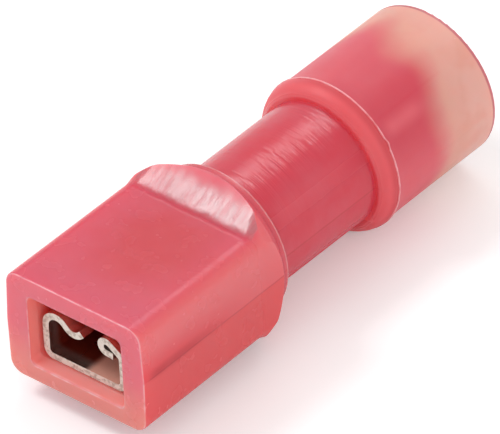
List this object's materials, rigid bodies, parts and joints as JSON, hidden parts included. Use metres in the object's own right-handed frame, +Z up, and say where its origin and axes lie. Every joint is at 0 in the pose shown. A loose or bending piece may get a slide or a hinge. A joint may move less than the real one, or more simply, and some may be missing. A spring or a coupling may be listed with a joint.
{
  "type": "insulated female spade terminal",
  "caption": "Fully insulated female spade terminal: folded tinned receptacle and wire barrel in a translucent red nylon housing with a wire collar.",
  "frame": {"origin": "where the axis of the neck meets the plane of the tab mouth", "axes": "+Y runs along the neck's axis from the tab mouth to the wire entry, +Z is up from the contact's flat floor to its rolled edges, +X is to the right seen from the tab mouth"},
  "size_m": [0.0064, 0.0195, 0.0062],
  "materials": {
    "red_nylon": "translucent moulded nylon, satin gloss",
    "tinned_brass": "bright tin plate over brass strip"
  },
  "bodies": {
    "root": {"insulating_housing": "red_nylon", "spade_contact": "tinned_brass"}
  },
  "joints": []
}
